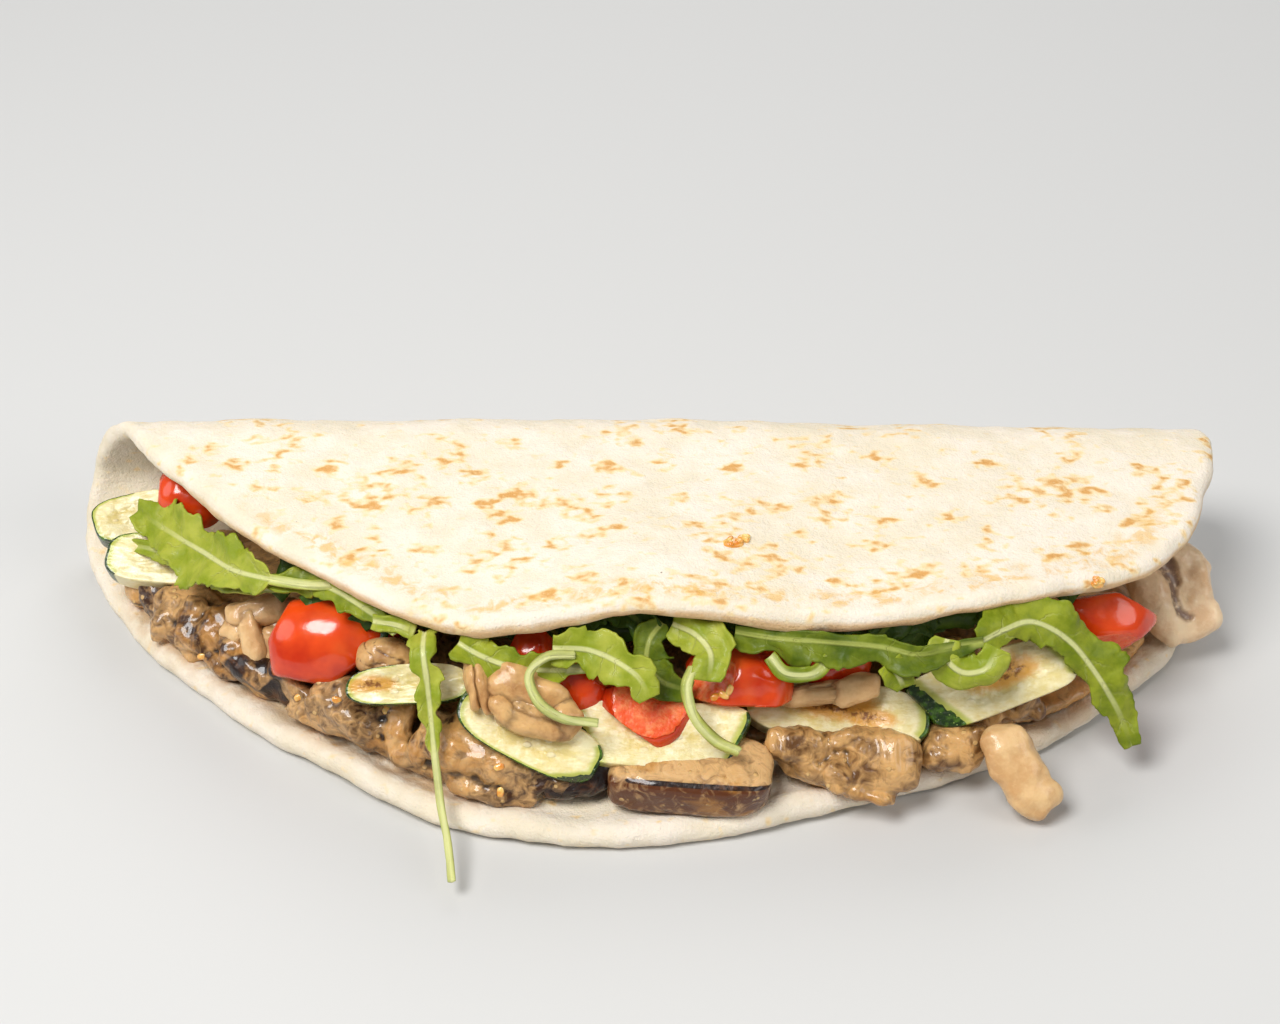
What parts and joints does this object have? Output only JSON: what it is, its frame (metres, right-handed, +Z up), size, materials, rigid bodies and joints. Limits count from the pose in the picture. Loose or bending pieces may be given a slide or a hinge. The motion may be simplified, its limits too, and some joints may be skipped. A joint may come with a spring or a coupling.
{
  "type": "piadina",
  "caption": "Folded Italian flatbread filled with stewed aubergine, zucchini, mushrooms, tomato wedges and rocket leaves.",
  "frame": {"origin": "middle of the footprint, on the surface that the folded bread lies on", "axes": "+X along the fold, +Y toward the folded back so that the open side with the filling faces -Y, +Z up"},
  "size_m": [0.2646, 0.1246, 0.0468],
  "materials": {
    "bread": "baked flatbread, floury cream with small golden scorch marks",
    "aubergine": "stewed aubergine flesh and peel, wet brown",
    "zucchini": "grilled zucchini, pale yellow flesh and dark green skin",
    "mushroom": "cooked mushroom, moist beige",
    "tomato": "fresh tomato, glossy red",
    "rocket": "rocket leaf, satin green with pale ribs"
  },
  "bodies": {
    "root": {"flatbread": "bread", "rocket_left": "rocket", "rocket_left_low": "rocket", "rocket_under_flap": "rocket", "rocket_hanging": "rocket", "rocket_crossing": "rocket", "rocket_middle_left": "rocket", "rocket_stem_loop": "rocket", "rocket_middle": "rocket", "rocket_middle_dark": "rocket", "rocket_drop": "rocket", "rocket_stem_down": "rocket", "rocket_long": "rocket", "rocket_ring": "rocket", "rocket_lobe": "rocket", "rocket_right": "rocket", "rocket_curl": "rocket", "tomato_left_end": "tomato", "tomato_dome": "tomato", "tomato_deep": "tomato", "tomato_middle_left": "tomato", "tomato_middle": "tomato", "tomato_seeded": "tomato", "tomato_shaded": "tomato", "tomato_right": "tomato", "mushroom_left": "mushroom", "mushroom_button": "mushroom", "mushroom_folded": "mushroom", "mushroom_small": "mushroom", "mushroom_strip": "mushroom", "mushroom_back": "mushroom", "mushroom_right_strip": "mushroom", "mushroom_stem": "mushroom", "mushroom_slice": "mushroom", "zucchini_left_end": "zucchini", "zucchini_left": "zucchini", "zucchini_tip": "zucchini", "zucchini_under_dome": "zucchini", "zucchini_middle_left": "zucchini", "zucchini_middle": "zucchini", "zucchini_charred": "zucchini", "zucchini_right": "zucchini", "aubergine_slice": "aubergine", "aubergine_folded": "aubergine", "aubergine_chunk": "aubergine", "aubergine_curl": "aubergine", "aubergine_peel": "aubergine", "rocket_bed": "rocket", "aubergine_bed": "aubergine"}
  },
  "joints": []
}
